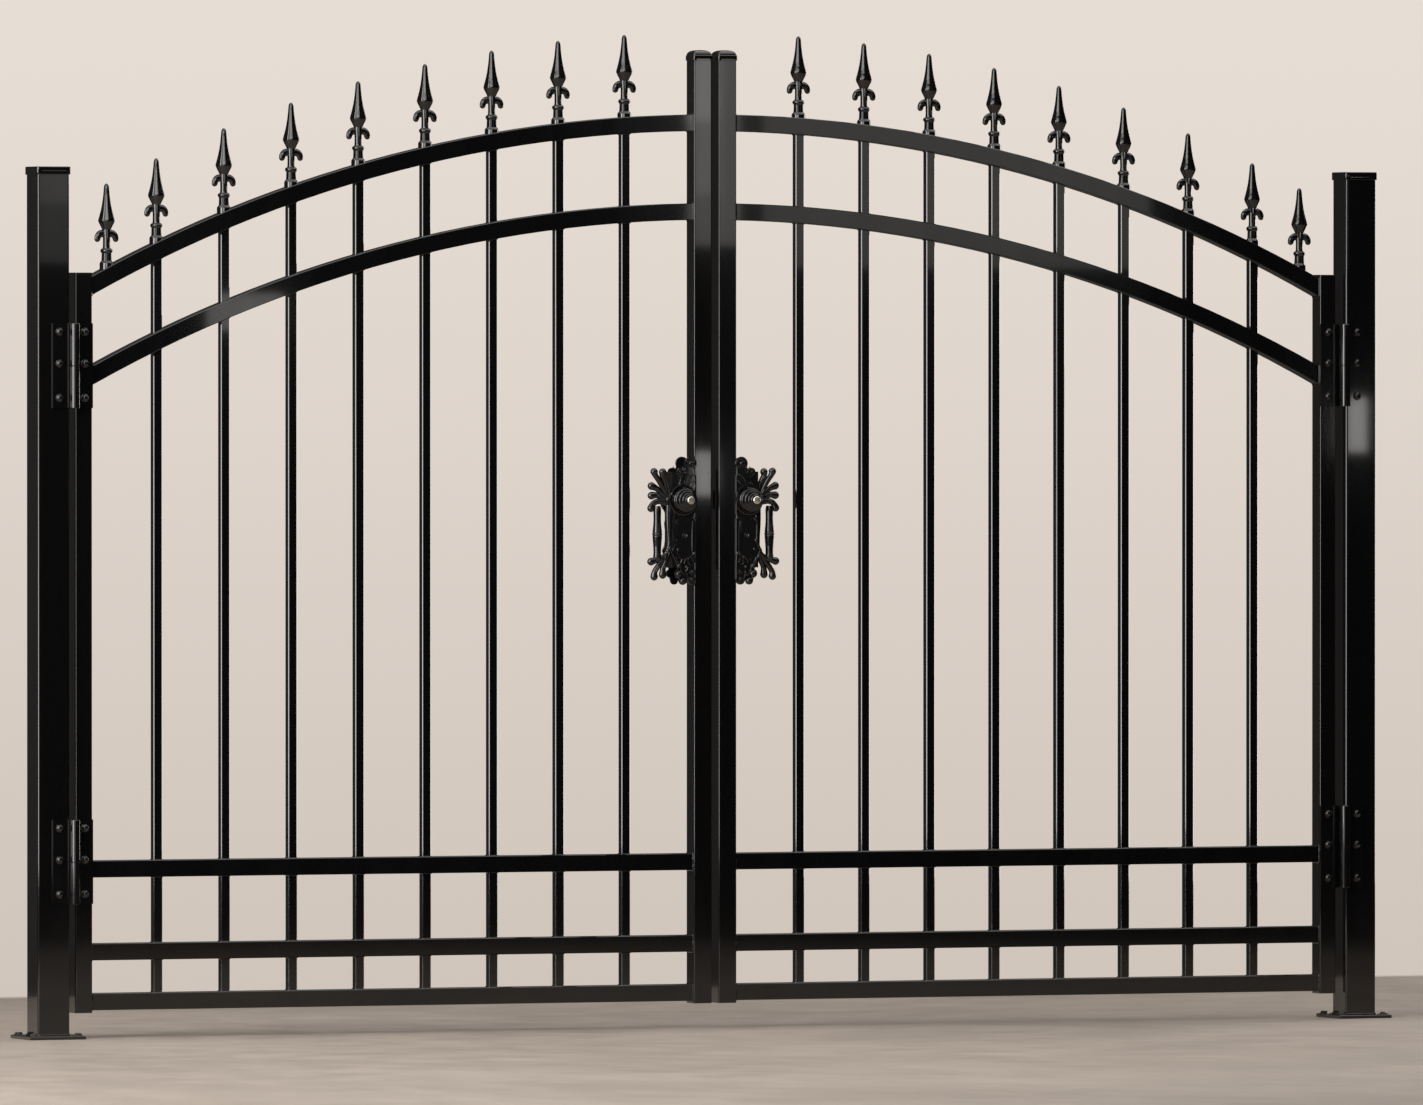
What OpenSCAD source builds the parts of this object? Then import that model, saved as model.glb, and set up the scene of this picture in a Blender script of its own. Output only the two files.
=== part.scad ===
// Double-leaf arched driveway gate on two square posts.
// Origin: centre of the underside of the left base plate.
// +X runs to the right post, -Y is the front, +Z is up. Sizes are in millimetres.

/* [Posts] */
// Clear width between the two posts
opening_w = 3300; // [2800:10:4000]
// Width and depth of a square post
post_w = 80; // [70:1:100]
// Outer corner radius of a post
post_corner_r = 5; // [2:0.5:8]
// Height of a post from the ground to the top of its cap
post_h = 2060; // [1900:10:2500]
// Thickness of a post cap
post_cap_t = 19; // [8:1:30]
// How far a post cap stands out past the post on each side
post_cap_lip = 3; // [1:0.5:8]
// Width and depth of a base plate
base_plate_w = 140; // [130:1:200]
// Thickness of a base plate
base_plate_t = 8; // [6:1:20]
// Radius of an anchor hole in a base plate
anchor_hole_r = 7; // [5:0.5:8]
// Distance from an anchor hole's centre to the base plate's edges
anchor_hole_edge = 15; // [12:0.5:18]

/* [Leaves] */
// Gap between a post and the hinge stile
hinge_gap = 20; // [16:1:40]
// Gap between the two meeting stiles
meeting_gap = 18; // [16:1:30]
// Height of the leaves above the ground
ground_gap = 60; // [30:1:120]
// Depth of all four stiles, front to back
stile_d = 50; // [40:1:60]
// Outer corner radius of the stiles
stile_corner_r = 3; // [1:0.5:5]
// Width of a hinge stile
hinge_stile_w = 42; // [36:1:60]
// How far a hinge stile's cap stands above the end of the upper arch
hinge_stile_over_arch = 9; // [5:1:40]
// Thickness of a hinge stile's cap
hinge_stile_cap_t = 4; // [2:0.5:8]
// Width of a meeting stile
meeting_stile_w = 46; // [40:1:60]
// How far a meeting stile's domed cap stands above the top of the upper arch
meeting_stile_over_arch = 154; // [60:1:250]
// Height of the band of a meeting stile's cap
meeting_cap_band_h = 14; // [8:1:24]
// Height of the dome above that band
meeting_cap_dome_h = 11; // [6:1:16]
// How far the band stands out past the stile on each side
meeting_cap_lip = 2; // [1:0.5:4]

/* [Rails and pickets] */
// Height of every rail's section
rail_h = 40; // [30:1:50]
// Depth of every rail's section, front to back
rail_d = 40; // [36:1:46]
// Chamfer along the edges of rails and pickets
bar_chamfer = 1.5; // [0.5:0.5:3]
// Underside of the bottom rail above the ground
bottom_rail_z = 66; // [62:1:130]
// Underside of the lower rail above the ground
lower_rail_z = 184; // [176:1:230]
// Underside of the middle rail above the ground
middle_rail_z = 380; // [300:1:500]
// Number of pickets in each leaf
picket_count = 8; // [5:1:9]
// Width and depth of a square picket
picket_w = 22; // [16:1:24]
// Clearance around a picket in its square holes
picket_clearance = 0.2; // [0.1:0.05:0.5]

/* [Arches] */
// Top of the upper arch above the ground, at the middle of the gate
arch_top = 2192; // [2150:1:2220]
// Rise of the upper arch from the hinge stiles to the middle
arch_rise = 391; // [300:1:450]
// Drop from the upper arch to the lower arch
arch_drop = 213; // [150:1:300]

/* [Finials] */
// Height of a finial from its seat to its tip
finial_h = 197; // [170:1:240]
// Radius of a finial's foot
finial_foot_r = 16.5; // [14:0.5:20]
// Largest radius of a finial's blade
finial_blade_r = 20; // [16:0.5:26]
// Width over the two curls of a finial
finial_curl_w = 64; // [58:1:70]
// Distance from a hinge stile to the finial beside it
end_finial_inset = 45; // [40:1:70]
// Gap between a finial's foot and the arch under it
finial_seat_gap = 0.2; // [0.1:0.05:0.5]

/* [Hinges] */
// Height of a hinge
hinge_h = 200; // [150:1:240]
// Middle of the upper hinge above the ground
upper_hinge_z = 1590; // [1400:5:1650]
// Middle of the lower hinge above the ground
lower_hinge_z = 418; // [350:5:600]
// Thickness of the hinge plates
hinge_plate_t = 5; // [4:0.5:6]
// Width of the plate on the post
hinge_post_plate_w = 44; // [36:1:55]
// Outer radius of a hinge knuckle
knuckle_r = 12; // [11:0.5:14]
// Radius of a hinge pin
pin_r = 7; // [5:0.5:8]
// Running clearance around a hinge pin
pin_clearance = 0.06; // [0.02:0.01:0.1]
// Gap between the two knuckles of a hinge
knuckle_gap = 0.3; // [0.2:0.1:1]
// Distance from the post's inner face to the hinge axis
hinge_axis_inset = 8; // [8:0.5:9]
// Gap between a moving knuckle and the post's front face
knuckle_to_post = 2; // [1:0.5:4]

/* [Lock sets] */
// Middle of a knob above the ground
knob_z = 1267; // [1150:1:1300]
// Distance from a meeting stile's inner edge to the middle of the knob
knob_inset = 30; // [28:0.5:34]
// Width of a lock case
lock_case_w = 56; // [50:1:60]
// Height of a lock case
lock_case_h = 230; // [200:1:240]
// Thickness of the front and back lock plates
lock_plate_t = 4; // [3:0.5:6]
// Width of a lock plate
lock_plate_w = 66; // [62:1:70]
// How far a lock plate laps over the meeting stile
lock_plate_lap = 4; // [2:0.5:8]
// Radius of the round shoulder of a lock plate
lock_shoulder_r = 38; // [35:0.5:42]
// Height of a lock plate from its lowest to its highest point
lock_plate_h = 314; // [300:1:330]
// Radius of the stepped rose around a knob's neck
rose_r = 33; // [28:0.5:35]
// Thickness of the rose
rose_t = 5; // [3:0.5:8]
// Thickness of the strips on the meeting faces
strip_t = 3; // [2:0.5:3]
// Width of those strips
strip_w = 25; // [20:1:30]
// Height of those strips
strip_h = 240; // [200:1:260]
// How far the drawn-back latch bolt stands out of its strip
latch_out = 1; // [0.5:0.5:2]

/* [Knobs] */
// Height of a knob above its rose
knob_h = 44; // [36:1:55]
// Largest radius of a knob
knob_r = 27; // [22:0.5:30]
// Radius of a knob's neck and spindle
spindle_r = 9; // [7:0.5:10]
// Running clearance around the spindle
spindle_clearance = 0.1; // [0.05:0.05:0.3]
// Radius of the button on the end of a knob
button_r = 9.5; // [7:0.5:10]
// Height of that button
button_h = 6; // [4:0.5:10]

/* [Pull handles] */
// Distance from a meeting stile's inner edge to the grip
grip_inset = 90; // [88:1:100]
// Radius of the grip at its ends
grip_end_r = 8; // [6:0.5:9]
// Radius of the bead in the middle of the grip
grip_bead_r = 11; // [9:0.5:12]
// Radius of the inner bow beside the lock plate
bow_r = 4; // [3:0.5:5]
// How far behind the leaf's front face the grip's axis lies
grip_set_back = 13; // [12:0.5:16]
// Radius of the round ends of the fan leaves
fan_tip_r = 8; // [6:0.5:9]
// Half the thickness of the fans, front to back
fan_half_t = 7; // [5:0.5:7.5]

/* [Hidden] */

arch_fn = 720;
round_fn = 48;
gloss_black = [0.06, 0.06, 0.06];
warm_brass = [0.72, 0.62, 0.42];

// Everything is drawn for the left side and mirrored about this plane for the right side.
middle_x = (post_w + opening_w) / 2;
leaf_x0 = post_w / 2 + hinge_gap;
leaf_x1 = middle_x - meeting_gap / 2;
clear_x0 = leaf_x0 + hinge_stile_w;
clear_x1 = leaf_x1 - meeting_stile_w;
clear_w = clear_x1 - clear_x0;
picket_pitch = clear_w / (picket_count + 1);
picket_xs = [for (i = [1 : picket_count]) clear_x0 + i * picket_pitch];
finial_xs = concat([clear_x0 + end_finial_inset], picket_xs);

// Both arches are one circular arc over the two leaves.
arch_half_span = middle_x - clear_x0;
arch_r = (pow(arch_half_span, 2) + pow(arch_rise, 2)) / (2 * arch_rise);
arch_centre_z = arch_top - arch_r;
arch_end_slope = arch_half_span / sqrt(pow(arch_r, 2) - pow(arch_half_span, 2));

hinge_stile_top = arch_top - arch_rise + hinge_stile_over_arch;
meeting_stile_top = arch_top + meeting_stile_over_arch;

stile_front_y = -stile_d / 2;
hinge_axis_x = post_w / 2 + hinge_axis_inset;
hinge_axis_y = -(post_w / 2 + knuckle_r + knuckle_to_post);
hinge_zs = [lower_hinge_z, upper_hinge_z];
knob_x = clear_x1 - knob_inset;
lock_mid_z = knob_z - 47;

function arch_z(x) = arch_centre_z + sqrt(pow(arch_r, 2) - pow(x - middle_x, 2));

module on_side(side) {
    if (side == "left") children();
    else translate([2 * middle_x, 0, 0]) mirror([1, 0, 0]) children();
}

// A rectangle about the origin with its corners rounded.
module rounded_rect(w, d, r) {
    square([w - 2 * r, d], center = true);
    square([w, d - 2 * r], center = true);
    for (sx = [-1, 1], sy = [-1, 1])
        translate([sx * (w / 2 - r), sy * (d / 2 - r)]) circle(r, $fn = 32);
}

// A rectangle about the origin with its corners cut off.
module chamfered_rect(w, d, c) {
    polygon([
        [-w / 2 + c, -d / 2], [w / 2 - c, -d / 2], [w / 2, -d / 2 + c], [w / 2, d / 2 - c],
        [w / 2 - c, d / 2], [-w / 2 + c, d / 2], [-w / 2, d / 2 - c], [-w / 2, -d / 2 + c]
    ]);
}

// A flat block, standing on z = 0, with its upper edges and its corners cut off.
module chamfered_slab(w, d, h, c) {
    intersection() {
        linear_extrude(h) chamfered_rect(w, d, c);
        rotate([90, 0, 0])
            linear_extrude(d + 1, center = true)
                polygon([[-w / 2, 0], [w / 2, 0], [w / 2, h - c], [w / 2 - c, h], [-w / 2 + c, h], [-w / 2, h - c]]);
        rotate([90, 0, 90])
            linear_extrude(w + 1, center = true)
                polygon([[-d / 2, 0], [d / 2, 0], [d / 2, h - c], [d / 2 - c, h], [-d / 2 + c, h], [-d / 2, h - c]]);
    }
}

// A turned length of bar with its two ends chamfered, from z0 to z1.
module chamfered_cylinder(r, z0, z1, c) {
    rotate_extrude($fn = round_fn)
        polygon([[0, z0], [r - c, z0], [r, z0 + c], [r, z1 - c], [r - c, z1], [0, z1]]);
}

// A flat tapering strip from one point to another, with its own width at each end.
module tapered_strip(from, to, w_from, w_to) {
    along = (to - from) / norm(to - from);
    across = [-along[1], along[0]] / 2;
    polygon([from - across * w_from, from + across * w_from, to + across * w_to, to - across * w_to]);
}

// ---- Posts ----

module post(side) {
    color(gloss_black) on_side(side)
        translate([0, 0, base_plate_t])
            linear_extrude(post_h - base_plate_t - post_cap_t) rounded_rect(post_w, post_w, post_corner_r);
}

module base_plate(side) {
    hole_at = base_plate_w / 2 - anchor_hole_edge;
    color(gloss_black) on_side(side)
        difference() {
            chamfered_slab(base_plate_w, base_plate_w, base_plate_t, 1.5);
            for (sx = [-1, 1], sy = [-1, 1])
                translate([sx * hole_at, sy * hole_at, -1])
                    cylinder(r = anchor_hole_r, h = base_plate_t + 2, $fn = round_fn);
        }
}

module post_cap(side) {
    cap_w = post_w + 2 * post_cap_lip;
    color(gloss_black) on_side(side)
        translate([0, 0, post_h - post_cap_t]) chamfered_slab(cap_w, cap_w, post_cap_t, 2.5);
}

// ---- Hinges: lift-off butt hinges with the knuckles in front of the hinge gap ----

module at_hinge_axis(z) {
    translate([hinge_axis_x, hinge_axis_y, z]) children();
}

module post_hinge_leaf(mid_z) {
    plate_x0 = post_w / 2 - hinge_post_plate_w;
    plate_x1 = hinge_axis_x - knuckle_r / 3;
    low_z = mid_z - hinge_h / 2;
    difference() {
        translate([plate_x0, -post_w / 2 - hinge_plate_t, low_z])
            cube([plate_x1 - plate_x0, hinge_plate_t, hinge_h]);
        at_hinge_axis(mid_z - knuckle_gap) cylinder(r = knuckle_r + 1.5, h = hinge_h, $fn = round_fn);
    }
    at_hinge_axis(0) chamfered_cylinder(knuckle_r, low_z, mid_z - knuckle_gap, 1);
    at_hinge_axis(0) chamfered_cylinder(pin_r, low_z + 1, mid_z + hinge_h / 2 - 2, 1);
}

module gate_hinge_leaf(mid_z) {
    low_z = mid_z - hinge_h / 2;
    web_x0 = hinge_axis_x - hinge_plate_t / 2;
    difference() {
        union() {
            translate([web_x0, stile_front_y - hinge_plate_t, low_z])
                cube([clear_x0 - web_x0, hinge_plate_t, hinge_h]);
            translate([web_x0, hinge_axis_y, low_z])
                cube([hinge_plate_t, stile_front_y - hinge_axis_y, hinge_h]);
            at_hinge_axis(0) chamfered_cylinder(knuckle_r, mid_z, mid_z + hinge_h / 2, 1);
        }
        at_hinge_axis(low_z - 1) cylinder(r = knuckle_r + 4, h = hinge_h / 2 + 1, $fn = round_fn);
        at_hinge_axis(mid_z - 1) cylinder(r = pin_r + pin_clearance, h = hinge_h / 2 + 2, $fn = round_fn);
    }
}

module post_hinge_leaves(side) {
    color(gloss_black) on_side(side) for (z = hinge_zs) post_hinge_leaf(z);
}

module gate_hinge_leaves(side) {
    color(gloss_black) on_side(side) for (z = hinge_zs) gate_hinge_leaf(z);
}

// ---- Stiles ----

module stile(x0, w, top_z) {
    translate([x0 + w / 2, 0, ground_gap])
        linear_extrude(top_z - ground_gap) rounded_rect(w, stile_d, stile_corner_r);
}

module hinge_stile(side) {
    color(gloss_black) on_side(side) stile(leaf_x0, hinge_stile_w, hinge_stile_top - hinge_stile_cap_t);
}

module meeting_stile(side) {
    cap_h = meeting_cap_band_h + meeting_cap_dome_h;
    color(gloss_black) on_side(side) stile(clear_x1, meeting_stile_w, meeting_stile_top - cap_h);
}

// A thin flat cap on the hinge stile, and a banded dome on the meeting stile.
module stile_caps(side) {
    band_w = meeting_stile_w + 2 * meeting_cap_lip;
    band_d = stile_d + 2 * meeting_cap_lip;
    dome_foot_r = band_w / 2 - 1;
    dome_r = (pow(dome_foot_r, 2) + pow(meeting_cap_dome_h, 2)) / (2 * meeting_cap_dome_h);
    band_z = meeting_stile_top - meeting_cap_dome_h - meeting_cap_band_h;
    color(gloss_black) on_side(side) {
        translate([leaf_x0 + hinge_stile_w / 2, 0, hinge_stile_top - hinge_stile_cap_t])
            chamfered_slab(hinge_stile_w + 1, stile_d + 1, hinge_stile_cap_t, 0.8);
        translate([clear_x1 + meeting_stile_w / 2, 0, band_z]) {
            chamfered_slab(band_w, band_d, meeting_cap_band_h, 2);
            intersection() {
                translate([0, 0, meeting_cap_band_h + meeting_cap_dome_h - dome_r]) sphere(dome_r, $fn = 96);
                translate([-band_w, -band_w, meeting_cap_band_h - 0.5]) cube([2 * band_w, 2 * band_w, 60]);
            }
        }
    }
}

// ---- Rails and pickets ----

module picket_holes(z0, z1) {
    hole_w = picket_w + 2 * picket_clearance;
    for (x = picket_xs)
        translate([x - hole_w / 2, -hole_w / 2, z0]) cube([hole_w, hole_w, z1 - z0]);
}

module straight_rail(side, low_z) {
    color(gloss_black) on_side(side)
        difference() {
            translate([clear_x0, 0, low_z + rail_h / 2])
                rotate([90, 0, 90]) linear_extrude(clear_w) chamfered_rect(rail_d, rail_h, bar_chamfer);
            picket_holes(low_z - 1, low_z + rail_h + 1);
        }
}

// The arc sweeps the same section as the straight rails and is cut square at the stiles.
module arch_rail(side, drop) {
    sweep_angle = 2 * asin((arch_half_span + rail_h) / arch_r);
    color(gloss_black) on_side(side)
        difference() {
            intersection() {
                translate([middle_x, 0, arch_centre_z - drop])
                    rotate([90, 0, 0])
                        rotate([0, 0, 90 - sweep_angle / 2])
                            rotate_extrude(angle = sweep_angle, $fn = arch_fn)
                                translate([arch_r - rail_h / 2, 0]) chamfered_rect(rail_h, rail_d, bar_chamfer);
                translate([clear_x0, -rail_d, ground_gap]) cube([clear_w, 2 * rail_d, arch_top]);
            }
            picket_holes(ground_gap, arch_top + 1);
        }
}

// Square bars through every rail, cut off flush with the top of the upper arch.
module pickets(side) {
    color(gloss_black) on_side(side)
        intersection() {
            for (x = picket_xs)
                translate([x, 0, bottom_rail_z])
                    linear_extrude(arch_top - bottom_rail_z) chamfered_rect(picket_w, picket_w, bar_chamfer);
            translate([middle_x, 0, arch_centre_z])
                rotate([90, 0, 0]) cylinder(r = arch_r, h = 2 * picket_w, center = true, $fn = arch_fn);
        }
}

// ---- Finials ----

// One spear with a turned socket, two curls and a blade, standing on z = 0.
module spear() {
    foot_drop = finial_foot_r * arch_end_slope + 2;
    socket_r = finial_foot_r - 3;
    curl_r = 10;
    curl_z = 70;
    rotate_extrude($fn = round_fn)
        polygon([
            [0, -foot_drop], [finial_foot_r, -foot_drop], [finial_foot_r, 9], [socket_r, 12],
            [socket_r, 34], [socket_r + 1.5, 36], [socket_r + 1.5, 40], [socket_r - 4, 43],
            [socket_r - 4, 58], [socket_r - 1, 62], [socket_r - 1, 78], [socket_r - 3, 88],
            [finial_blade_r - 4, 98], [finial_blade_r, 108], [finial_blade_r - 3, 122],
            [finial_blade_r * 0.55, 155], [4, finial_h - 8], [2.5, finial_h - 2], [0, finial_h]
        ]);
    for (s = [-1, 1])
        translate([s * (finial_curl_w / 2 - curl_r), 0, curl_z])
            rotate([90, 0, 0]) cylinder(r = curl_r, h = 12, center = true, $fn = round_fn);
    translate([0, 0, curl_z + 4]) cube([finial_curl_w - 2 * curl_r, 10, 10], center = true);
}

module finials(side) {
    color(gloss_black) on_side(side)
        difference() {
            for (x = finial_xs) translate([x, 0, arch_z(x)]) spear();
            translate([middle_x, 0, arch_centre_z])
                rotate([90, 0, 0])
                    cylinder(r = arch_r + finial_seat_gap, h = 4 * finial_foot_r, center = true, $fn = arch_fn);
        }
}

// ---- Lock sets ----

module spindle_hole() {
    translate([knob_x, 0, knob_z])
        rotate([90, 0, 0])
            cylinder(r = spindle_r + spindle_clearance, h = 2 * stile_d, center = true, $fn = round_fn);
}

module lock_case(side) {
    color(gloss_black) on_side(side)
        difference() {
            translate([clear_x1 - lock_case_w, -stile_d / 2, lock_mid_z - lock_case_h / 2])
                cube([lock_case_w, stile_d, lock_case_h]);
            spindle_hole();
        }
}

// The outline of a lock plate: a straight body under a round shoulder,
// a scroll and a lobe above them, and a taper to three lobes below.
module lock_plate_outline() {
    right = clear_x1 + lock_plate_lap;
    left = right - lock_plate_w;
    top = lock_mid_z + lock_plate_h / 2;
    bottom = lock_mid_z - lock_plate_h / 2;
    intersection() {
        union() {
            translate([knob_x, knob_z]) circle(lock_shoulder_r, $fn = 96);
            translate([left, bottom + 88]) square([lock_plate_w, knob_z - bottom - 88]);
            polygon([[left, bottom + 89], [left + 12, bottom + 22], [right, bottom + 22], [right, bottom + 89]]);
            translate([left + 14, bottom + 32]) circle(12, $fn = round_fn);
            translate([left + 24, bottom + 13]) circle(12, $fn = round_fn);
            translate([right - 14, bottom + 14]) circle(14, $fn = round_fn);
            translate([left + 18, knob_z]) square([lock_plate_w - 18, top - knob_z - 30]);
            translate([left + 18, top - 38]) circle(10, $fn = round_fn);
            translate([right - 17, top - 17]) circle(17, $fn = round_fn);
        }
        translate([left - lock_shoulder_r, bottom]) square([right - left + lock_shoulder_r, lock_plate_h]);
    }
}

// A plate with its rose. Its back face lies on the lock case and on the stile.
module lock_plate() {
    difference() {
        union() {
            translate([0, stile_front_y, 0])
                rotate([90, 0, 0]) linear_extrude(lock_plate_t) lock_plate_outline();
            translate([knob_x, stile_front_y, knob_z])
                rotate([90, 0, 0]) cylinder(r = rose_r, h = lock_plate_t + rose_t, $fn = 96);
        }
        spindle_hole();
    }
}

module front_lock_plate(side) {
    color(gloss_black) on_side(side) lock_plate();
}

module back_lock_plate(side) {
    color(gloss_black) on_side(side) mirror([0, 1, 0]) lock_plate();
}

// Strips on the meeting faces: one holds the drawn-back latch bolt, the other has its pocket.
module latch_strip() {
    color(gloss_black) on_side("left") {
        translate([leaf_x1, -strip_w / 2, lock_mid_z - strip_h / 2]) cube([strip_t, strip_w, strip_h]);
        translate([leaf_x1 + strip_t / 2, -6, knob_z - 20]) cube([strip_t / 2 + latch_out, 12, 40]);
    }
}

module strike_strip() {
    color(gloss_black) on_side("right")
        difference() {
            translate([leaf_x1, -strip_w / 2, lock_mid_z - strip_h / 2]) cube([strip_t, strip_w, strip_h]);
            translate([leaf_x1 - 1, -7, knob_z - 22]) cube([strip_t + 2, 14, 44]);
        }
}

// ---- Knobs ----

knob_base_y = stile_front_y - lock_plate_t - rose_t;

// A stepped knob on its neck. Its length runs along +Z from the middle of the spindle.
module half_knob() {
    base = -knob_base_y;
    rotate_extrude($fn = 96)
        polygon([
            [0, -1], [spindle_r, -1], [spindle_r, base + 7], [knob_r - 5, base + 10], [knob_r, base + 15],
            [knob_r, base + 19], [knob_r - 4, base + 22], [knob_r - 4, base + 28], [knob_r - 10, base + 31],
            [knob_r - 10, base + 37], [knob_r - 14, base + 40], [knob_r - 14, base + knob_h], [0, base + knob_h]
        ]);
}

module knob(side) {
    color(gloss_black) on_side(side)
        translate([knob_x, 0, knob_z]) {
            rotate([90, 0, 0]) half_knob();
            rotate([-90, 0, 0]) half_knob();
        }
}

module knob_buttons(side) {
    color(warm_brass) on_side(side)
        translate([knob_x, 0, knob_z])
            for (a = [90, -90])
                rotate([a, 0, 0]) chamfered_cylinder(button_r, knob_h - knob_base_y, knob_h - knob_base_y + button_h, 2);
}

// ---- Pull handles ----

// One cast fan: strips spread from a root to round tips. Points are [inset from the stile, height].
module fan(root, tips) {
    for (tip = tips) {
        tapered_strip(root, tip, 1.6 * fan_tip_r, fan_tip_r);
        translate(tip) circle(fan_tip_r, $fn = 32);
    }
    translate(root) circle(fan_tip_r, $fn = 32);
}

// Two fans joined by a slim bow beside the lock plate and by a turned grip with a bead in its middle.
module pull_handle(side) {
    fan_out = grip_inset + 16;
    upper_root = [lock_case_w + fan_tip_r, knob_z + 2];
    lower_root = [lock_case_w + fan_tip_r, knob_z - 122];
    upper_tips = [[fan_out - 31, knob_z + 68], [fan_out - 8, knob_z + 68], [fan_out, knob_z + 34],
                  [fan_out, knob_z + 10], [fan_out, knob_z - 20]];
    lower_tips = [[fan_out, knob_z - 147], [fan_out - 8, knob_z - 184], [fan_out - 31, knob_z - 180]];
    grip_top = knob_z - 16;
    grip_low = knob_z - 138;
    bead_z = knob_z - 80;
    color(gloss_black) on_side(side)
        translate([clear_x1, stile_front_y + grip_set_back, 0])
            mirror([1, 0, 0]) {
                rotate([90, 0, 0])
                    linear_extrude(2 * fan_half_t, center = true) {
                        fan(upper_root, upper_tips);
                        fan(lower_root, lower_tips);
                        translate([lock_case_w, lower_root[1]]) square([2 * bow_r, upper_root[1] - lower_root[1]]);
                        translate([lock_case_w, upper_root[1] - 12]) square([fan_tip_r, 24]);
                        translate([lock_case_w, lower_root[1] - 12]) square([fan_tip_r, 24]);
                    }
                translate([grip_inset, 0, 0])
                    rotate_extrude($fn = round_fn)
                        polygon([
                            [0, grip_low], [grip_end_r, grip_low], [grip_end_r, bead_z - 24], [grip_bead_r, bead_z - 3],
                            [grip_bead_r, bead_z + 3], [grip_end_r, bead_z + 24], [grip_end_r, grip_top], [0, grip_top]
                        ]);
            }
}

post("left");  // left_post
post("right");  // right_post
base_plate("left");  // left_base_plate
base_plate("right");  // right_base_plate
post_cap("left");  // left_post_cap
post_cap("right");  // right_post_cap
post_hinge_leaves("left");  // left_post_hinge_leaves
post_hinge_leaves("right");  // right_post_hinge_leaves
hinge_stile("left");  // left_hinge_stile
hinge_stile("right");  // right_hinge_stile
meeting_stile("left");  // left_meeting_stile
meeting_stile("right");  // right_meeting_stile
stile_caps("left");  // left_stile_caps
stile_caps("right");  // right_stile_caps
arch_rail("left", 0);  // left_upper_arch_rail
arch_rail("right", 0);  // right_upper_arch_rail
arch_rail("left", arch_drop);  // left_lower_arch_rail
arch_rail("right", arch_drop);  // right_lower_arch_rail
straight_rail("left", middle_rail_z);  // left_middle_rail
straight_rail("right", middle_rail_z);  // right_middle_rail
straight_rail("left", lower_rail_z);  // left_lower_rail
straight_rail("right", lower_rail_z);  // right_lower_rail
straight_rail("left", bottom_rail_z);  // left_bottom_rail
straight_rail("right", bottom_rail_z);  // right_bottom_rail
pickets("left");  // left_pickets
pickets("right");  // right_pickets
finials("left");  // left_finials
finials("right");  // right_finials
gate_hinge_leaves("left");  // left_gate_hinge_leaves
gate_hinge_leaves("right");  // right_gate_hinge_leaves
lock_case("left");  // left_lock_case
lock_case("right");  // right_lock_case
front_lock_plate("left");  // left_front_lock_plate
front_lock_plate("right");  // right_front_lock_plate
back_lock_plate("left");  // left_back_lock_plate
back_lock_plate("right");  // right_back_lock_plate
pull_handle("left");  // left_pull_handle
pull_handle("right");  // right_pull_handle
latch_strip();  // left_latch_strip
strike_strip();  // right_strike_strip
knob("left");  // left_knob
knob("right");  // right_knob
knob_buttons("left");  // left_knob_buttons
knob_buttons("right");  // right_knob_buttons
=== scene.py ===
import math
import random

import bmesh
import bpy
from mathutils import Matrix, Vector


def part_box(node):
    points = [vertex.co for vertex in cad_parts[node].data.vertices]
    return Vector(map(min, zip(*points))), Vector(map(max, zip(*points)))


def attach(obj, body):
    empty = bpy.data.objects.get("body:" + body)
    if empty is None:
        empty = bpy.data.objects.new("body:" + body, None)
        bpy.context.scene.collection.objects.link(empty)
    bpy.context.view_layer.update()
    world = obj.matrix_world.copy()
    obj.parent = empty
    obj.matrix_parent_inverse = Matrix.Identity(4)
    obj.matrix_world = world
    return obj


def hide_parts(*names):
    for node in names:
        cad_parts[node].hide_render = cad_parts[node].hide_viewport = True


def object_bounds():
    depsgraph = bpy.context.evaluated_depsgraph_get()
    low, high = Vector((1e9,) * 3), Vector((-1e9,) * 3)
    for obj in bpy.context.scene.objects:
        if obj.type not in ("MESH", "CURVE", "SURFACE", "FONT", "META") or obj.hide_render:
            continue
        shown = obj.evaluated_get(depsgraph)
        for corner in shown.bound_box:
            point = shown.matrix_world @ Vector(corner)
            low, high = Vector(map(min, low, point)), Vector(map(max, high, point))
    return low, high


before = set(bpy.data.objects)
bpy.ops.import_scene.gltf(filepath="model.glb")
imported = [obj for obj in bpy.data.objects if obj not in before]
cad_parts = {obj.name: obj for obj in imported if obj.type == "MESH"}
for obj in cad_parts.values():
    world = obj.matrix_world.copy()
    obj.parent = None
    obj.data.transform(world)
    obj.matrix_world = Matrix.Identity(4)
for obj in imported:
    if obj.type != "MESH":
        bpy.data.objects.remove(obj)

cad_low, cad_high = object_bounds()
scene = bpy.context.scene
scene.view_settings.view_transform = "Standard"

# ---- Camera ----
# A long lens far off to the front left, at eye height and all but level,
# so that posts and pickets stay upright and parallel.
gate_middle = (cad_low + cad_high) / 2
look_azimuth, look_elevation = math.radians(-22), math.radians(0.7)
camera_distance = 40.0
sensor_width = 36.0
field_width = 3.415
aim_height = 1.141
back = Vector((math.sin(look_azimuth) * math.cos(look_elevation),
               -math.cos(look_azimuth) * math.cos(look_elevation), math.sin(look_elevation)))
camera_data = bpy.data.cameras.new("camera")
camera_data.sensor_width = sensor_width
camera_data.lens = sensor_width * camera_distance / field_width
camera_data.clip_end = 200.0
camera = bpy.data.objects.new("camera", camera_data)
camera.location = Vector((gate_middle.x, 0, aim_height)) + back * camera_distance
camera.rotation_euler = back.to_track_quat("Z", "Y").to_euler()
scene.collection.objects.link(camera)
scene.camera = camera


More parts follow.
